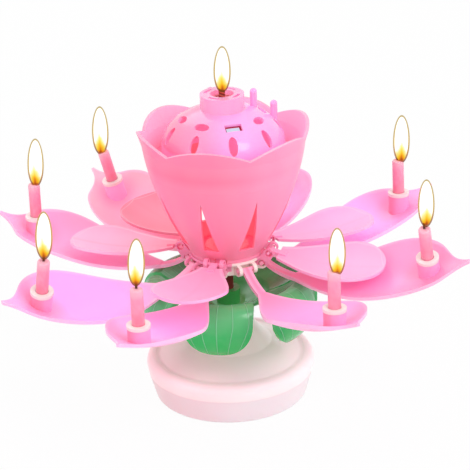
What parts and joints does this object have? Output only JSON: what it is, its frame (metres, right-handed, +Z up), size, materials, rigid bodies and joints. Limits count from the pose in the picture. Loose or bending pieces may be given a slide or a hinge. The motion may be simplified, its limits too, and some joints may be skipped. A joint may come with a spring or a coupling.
{
  "type": "musical birthday candle",
  "caption": "Lotus-flower birthday candle that plays and turns: hinged petals with small candles round a vented cup, on leaves, spindle and a round base with motor and music chip.",
  "frame": {"origin": "centre of the base's flat underside, on the spindle's axis", "axes": "+Z up along the spindle; -Y towards the viewer of the picture, +X to its right"},
  "size_m": [0.1802, 0.1794, 0.1286],
  "materials": {
    "base_plastic": "satin, slightly translucent",
    "bush_plastic": "satin white nylon",
    "battery_steel": "plain metallic jacket",
    "spring_steel": "nickel plated",
    "screw_steel": "zinc plated",
    "gear_plastic": "natural acetal",
    "motor_steel": "drawn can",
    "board": "green solder mask",
    "epoxy": "black drop",
    "buzzer_brass": "disc",
    "switch_plastic": "matte",
    "spindle_plastic": "moulded dark red",
    "leaf_plastic": "glossy, light veins",
    "cream_plastic": "satin cream",
    "petal_plastic": "satin, slightly translucent",
    "inner_plastic": "satin, slightly translucent",
    "cup_plastic": "satin, slightly translucent",
    "dome_plastic": "glossy",
    "tube_plastic": "moulded",
    "fountain_paper": "rolled paper",
    "fuse_cord": "twisted, coated",
    "candle_wax": "wax with a cotton wick"
  },
  "bodies": {
    "base": {"base_housing": "base_plastic", "base_cover": "base_plastic", "neck_bush": "bush_plastic", "battery": "battery_steel", "battery_contacts": "spring_steel", "battery_door": "base_plastic", "cover_screws": "screw_steel", "gear_plate": "gear_plastic", "plate_screws": "screw_steel", "idler_pin": "screw_steel", "motor": "motor_steel", "circuit_board": "board", "sound_chip": "epoxy", "buzzer": "buzzer_brass", "switch_body": "motor_steel"},
    "flower": {"spindle": "spindle_plastic", "spindle_gear": "gear_plastic", "leaf_calyx": "leaf_plastic", "hub_ring": "cream_plastic", "flower_cup": "cup_plastic", "vent_dome": "dome_plastic", "candle_tube": "tube_plastic", "fountain_candle": "fountain_paper", "fountain_fuse": "fuse_cord", "flower_screw": "screw_steel"},
    "idler": {"idler_gear": "gear_plastic"},
    "pinion": {"motor_pinion": "gear_plastic", "motor_shaft": "screw_steel"},
    "switch": {"switch_slider": "switch_plastic"},
    "petal_1": {"outer_petal_1": "petal_plastic", "drip_ring_1": "cream_plastic", "candle_1": "candle_wax"},
    "petal_2": {"outer_petal_2": "petal_plastic", "drip_ring_2": "cream_plastic", "candle_2": "candle_wax"},
    "petal_3": {"outer_petal_3": "petal_plastic", "drip_ring_3": "cream_plastic", "candle_3": "candle_wax"},
    "petal_4": {"outer_petal_4": "petal_plastic", "drip_ring_4": "cream_plastic", "candle_4": "candle_wax"},
    "petal_5": {"outer_petal_5": "petal_plastic", "drip_ring_5": "cream_plastic", "candle_5": "candle_wax"},
    "petal_6": {"outer_petal_6": "petal_plastic", "drip_ring_6": "cream_plastic", "candle_6": "candle_wax"},
    "petal_7": {"outer_petal_7": "petal_plastic", "drip_ring_7": "cream_plastic", "candle_7": "candle_wax"},
    "petal_8": {"outer_petal_8": "petal_plastic", "drip_ring_8": "cream_plastic", "candle_8": "candle_wax"},
    "inner_1": {"inner_petal_1": "inner_plastic"},
    "inner_2": {"inner_petal_2": "inner_plastic"},
    "inner_3": {"inner_petal_3": "inner_plastic"},
    "inner_4": {"inner_petal_4": "inner_plastic"},
    "inner_5": {"inner_petal_5": "inner_plastic"},
    "inner_7": {"inner_petal_7": "inner_plastic"}
  },
  "joints": [
    {"name": "flower_spin", "type": "hinge", "parent": "base", "child": "flower", "pos_m": [0, 0, 0.04], "axis": [0, 0, 1], "continuous": true},
    {"name": "idler_spin", "type": "hinge", "parent": "base", "child": "idler", "pos_m": [0, 0.01125, 0.016], "axis": [0, 0, 1], "continuous": true},
    {"name": "pinion_spin", "type": "hinge", "parent": "base", "child": "pinion", "pos_m": [0.011, 0.01125, 0.015], "axis": [0, 0, 1], "continuous": true},
    {"name": "switch_slide", "type": "slide", "parent": "base", "child": "switch", "axis": [1, 0, 0], "range_m": [0, 0.002]},
    {"name": "petal_1_hinge", "type": "hinge", "parent": "flower", "child": "petal_1", "pos_m": [0.01418, -0.00407, 0.057], "axis": [-0.3074, -0.9516, 0], "range_deg": [0, 52.1]},
    {"name": "petal_2_hinge", "type": "hinge", "parent": "flower", "child": "petal_2", "pos_m": [0.0129, 0.00715, 0.057], "axis": [0.4756, -0.8796, 0], "range_deg": [0, 44.8]},
    {"name": "petal_3_hinge", "type": "hinge", "parent": "flower", "child": "petal_3", "pos_m": [0.00407, 0.01418, 0.057], "axis": [0.9568, -0.2907, 0], "range_deg": [0, 54.4]},
    {"name": "petal_4_hinge", "type": "hinge", "parent": "flower", "child": "petal_4", "pos_m": [-0.00715, 0.0129, 0.057], "axis": [0.8241, 0.5664, 0], "range_deg": [0, 44.8]},
    {"name": "petal_5_hinge", "type": "hinge", "parent": "flower", "child": "petal_5", "pos_m": [-0.01418, 0.00407, 0.057], "axis": [0.3355, 0.9421, 0], "range_deg": [0, 51]},
    {"name": "petal_6_hinge", "type": "hinge", "parent": "flower", "child": "petal_6", "pos_m": [-0.0129, -0.00715, 0.057], "axis": [-0.4879, 0.8729, 0], "range_deg": [0, 46.3]},
    {"name": "petal_7_hinge", "type": "hinge", "parent": "flower", "child": "petal_7", "pos_m": [-0.00407, -0.01418, 0.057], "axis": [-0.907, 0.421, 0], "range_deg": [0, 54.8]},
    {"name": "petal_8_hinge", "type": "hinge", "parent": "flower", "child": "petal_8", "pos_m": [0.00715, -0.0129, 0.057], "axis": [-0.8854, -0.4648, 0], "range_deg": [0, 44.4]},
    {"name": "inner_1_hinge", "type": "hinge", "parent": "flower", "child": "inner_1", "pos_m": [0.01692, -0.00485, 0.0613], "axis": [-0.3387, -0.9409, 0], "range_deg": [0, 61.51]},
    {"name": "inner_2_hinge", "type": "hinge", "parent": "flower", "child": "inner_2", "pos_m": [0.01539, 0.00853, 0.0613], "axis": [0.3502, -0.9367, 0], "range_deg": [0, 51.71]},
    {"name": "inner_3_hinge", "type": "hinge", "parent": "flower", "child": "inner_3", "pos_m": [0.00485, 0.01692, 0.0613], "axis": [0.9703, -0.2419, 0], "range_deg": [0, 60.01]},
    {"name": "inner_4_hinge", "type": "hinge", "parent": "flower", "child": "inner_4", "pos_m": [-0.00853, 0.01539, 0.0613], "axis": [0.7547, 0.6561, 0], "range_deg": [0, 52.01]},
    {"name": "inner_5_hinge", "type": "hinge", "parent": "flower", "child": "inner_5", "pos_m": [-0.01692, 0.00485, 0.0613], "axis": [0.2045, 0.9789, 0], "range_deg": [0, 59.81]},
    {"name": "inner_7_hinge", "type": "hinge", "parent": "flower", "child": "inner_7", "pos_m": [-0.00485, -0.01692, 0.0613], "axis": [-0.9568, 0.2907, 0], "range_deg": [0, 53.11]}
  ],
  "couplings": [
    {"joint": "idler_spin", "follows": "flower_spin", "ratio": -4},
    {"joint": "pinion_spin", "follows": "flower_spin", "ratio": 18},
    {"joint": "inner_1_hinge", "follows": "petal_1_hinge", "ratio": 1.1804},
    {"joint": "inner_2_hinge", "follows": "petal_2_hinge", "ratio": 1.154},
    {"joint": "inner_3_hinge", "follows": "petal_3_hinge", "ratio": 1.1029},
    {"joint": "inner_4_hinge", "follows": "petal_4_hinge", "ratio": 1.1607},
    {"joint": "inner_5_hinge", "follows": "petal_5_hinge", "ratio": 1.1725},
    {"joint": "inner_7_hinge", "follows": "petal_7_hinge", "ratio": 0.96898}
  ]
}
